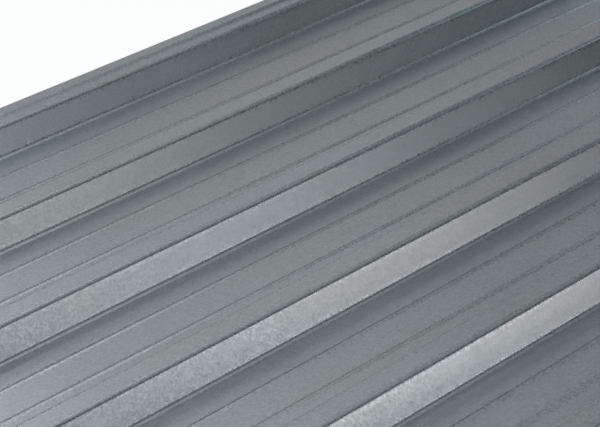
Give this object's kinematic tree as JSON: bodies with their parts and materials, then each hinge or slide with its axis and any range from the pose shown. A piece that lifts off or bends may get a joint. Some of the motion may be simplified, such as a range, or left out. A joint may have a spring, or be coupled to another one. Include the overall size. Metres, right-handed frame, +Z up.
{
  "type": "trapezoidal roofing sheet",
  "caption": "Galvanised steel roofing sheet with box ribs, wide pans with twin beads, and side-lap edges.",
  "frame": {"origin": "middle of the sheet's plan, on the plane of the pans' underside that it lies on", "axes": "+X along the ribs, +Y across them from the toe edge to the stepped lap edge, +Z up from pans to crests"},
  "size_m": [2, 1.076, 0.0357],
  "materials": {
    "galvanised_steel": "bare hot-dip zinc with a fine spangle, satin, with rolling streaks along the sheet"
  },
  "bodies": {
    "root": {"sheet": "galvanised_steel"}
  },
  "joints": []
}
